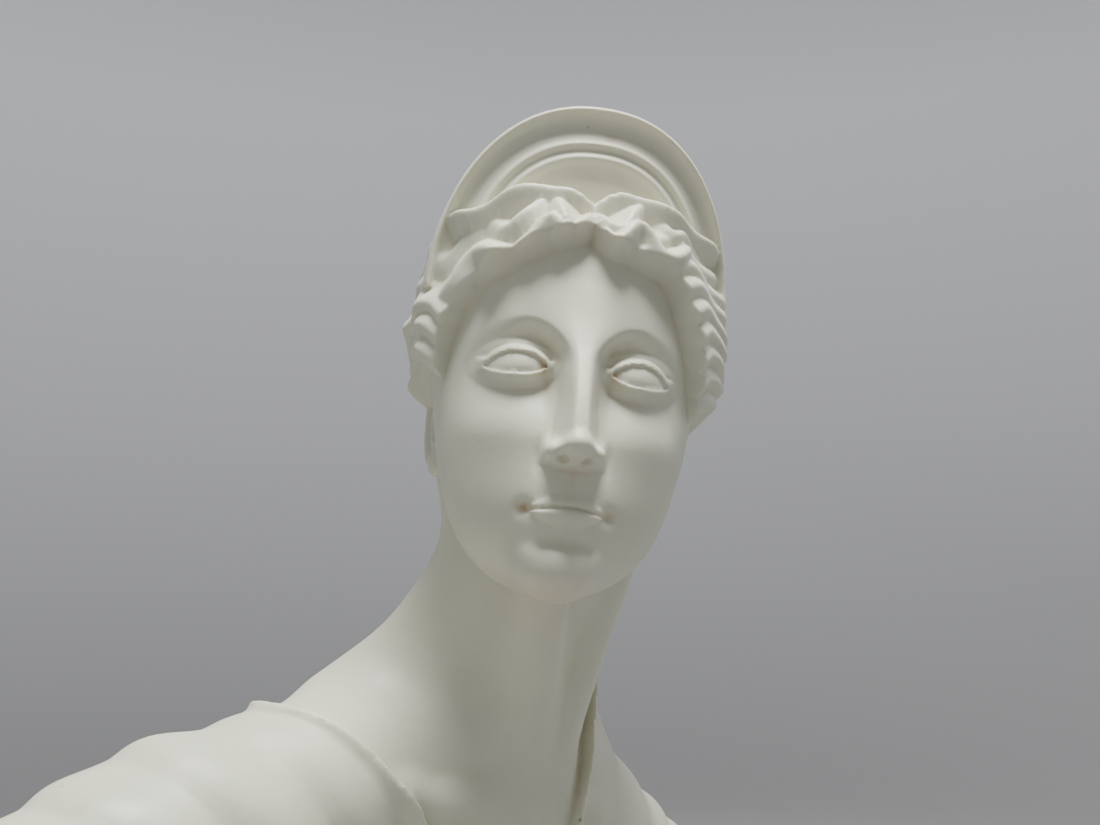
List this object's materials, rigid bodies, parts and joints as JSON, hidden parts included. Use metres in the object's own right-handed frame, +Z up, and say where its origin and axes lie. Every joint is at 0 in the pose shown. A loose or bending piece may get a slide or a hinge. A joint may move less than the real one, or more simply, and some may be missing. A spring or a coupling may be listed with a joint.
{
  "type": "goddess bust",
  "caption": "Cast marble bust of a draped goddess looking over her shoulder, with wavy hair, a chignon and a high crescent diadem, cut flat below",
  "frame": {"origin": "on the flat underside, on the body's own mid-line, under the neck", "axes": "+Z up; the chest faces -Y, the figure's right shoulder is toward -X and the head is turned to its right"},
  "size_m": [0.3292, 0.1801, 0.3647],
  "materials": {
    "cast_marble": "satin ivory-white bonded marble, faintly translucent, with warm stains in the eye corners, lips and hair"
  },
  "bodies": {
    "root": {"bust": "cast_marble"}
  },
  "joints": []
}
